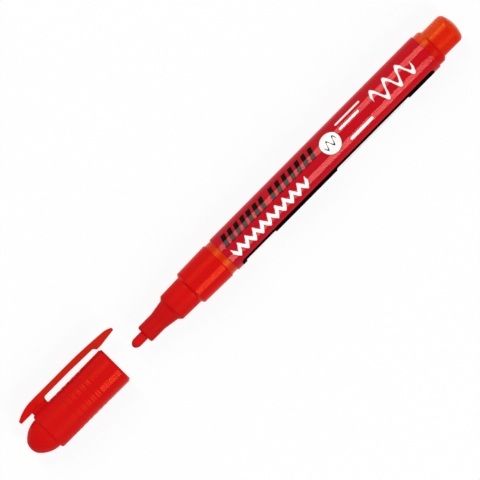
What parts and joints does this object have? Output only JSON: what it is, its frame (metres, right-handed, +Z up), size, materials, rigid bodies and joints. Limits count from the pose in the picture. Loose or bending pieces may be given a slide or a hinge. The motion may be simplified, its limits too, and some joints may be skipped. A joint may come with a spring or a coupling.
{
  "type": "liquid chalk marker",
  "caption": "Slim valve-action liquid chalk marker with a stepped nose, a bullet nib, a printed sleeve, a posting stub and a pulled-off cap with a long springy clip.",
  "frame": {"origin": "on the pen's axis at the middle of the printed sleeve", "axes": "+X along the pen from nib to tail, +Y to the side of the cap's clip, +Z up; the pen lies flat"},
  "size_m": [0.1714, 0.016, 0.0124],
  "materials": {
    "red_plastic": "opaque red moulded polypropylene, semi-gloss",
    "barrel_plastic": "translucent orange-red moulded polypropylene, glossy",
    "sleeve_film": "crimson printed shrink film, high gloss",
    "nib_fibre": "bonded acrylic fibre soaked with red ink",
    "buffer_fibre": "open polyester fibre wetted with red ink",
    "valve_plastic": "natural white moulded acetal",
    "spring_steel": "drawn stainless spring wire",
    "ball_steel": "polished steel ball",
    "seal_plastic": "soft natural polyethylene"
  },
  "bodies": {
    "pen": {"barrel": "barrel_plastic", "barrel_sleeve": "sleeve_film", "tail_plug": "barrel_plastic", "nose": "red_plastic", "ink_buffer": "buffer_fibre", "valve_housing": "valve_plastic", "valve_cage": "valve_plastic", "valve_spring": "spring_steel"},
    "nib_set": {"nib": "nib_fibre", "valve_plunger": "valve_plastic"},
    "ball": {"mixing_ball": "ball_steel"},
    "cap": {"cap_shell": "red_plastic", "cap_end_plug": "red_plastic", "cap_inner_seal": "seal_plastic"},
    "clip": {"cap_clip": "red_plastic"}
  },
  "joints": [
    {"name": "cap_pull", "type": "slide", "parent": "pen", "child": "cap", "axis": [1, 0, 0], "range_m": [0, 0.02975]},
    {"name": "clip_flex", "type": "hinge", "parent": "cap", "child": "clip", "pos_m": [-0.10708, 0.00882, 0], "axis": [0, 0, 1], "range_deg": [0, 6], "stiffness_Nm_per_rad": 0.3},
    {"name": "nib_press", "type": "slide", "parent": "pen", "child": "nib_set", "axis": [1, 0, 0], "range_m": [0, 0.0018], "stiffness_N_per_m": 800, "springref_m": -0.002, "deforming": ["valve_spring"]},
    {"name": "ball_roll", "type": "slide", "parent": "pen", "child": "ball", "axis": [1, 0, 0], "range_m": [-0.03468, 0.02312]}
  ]
}
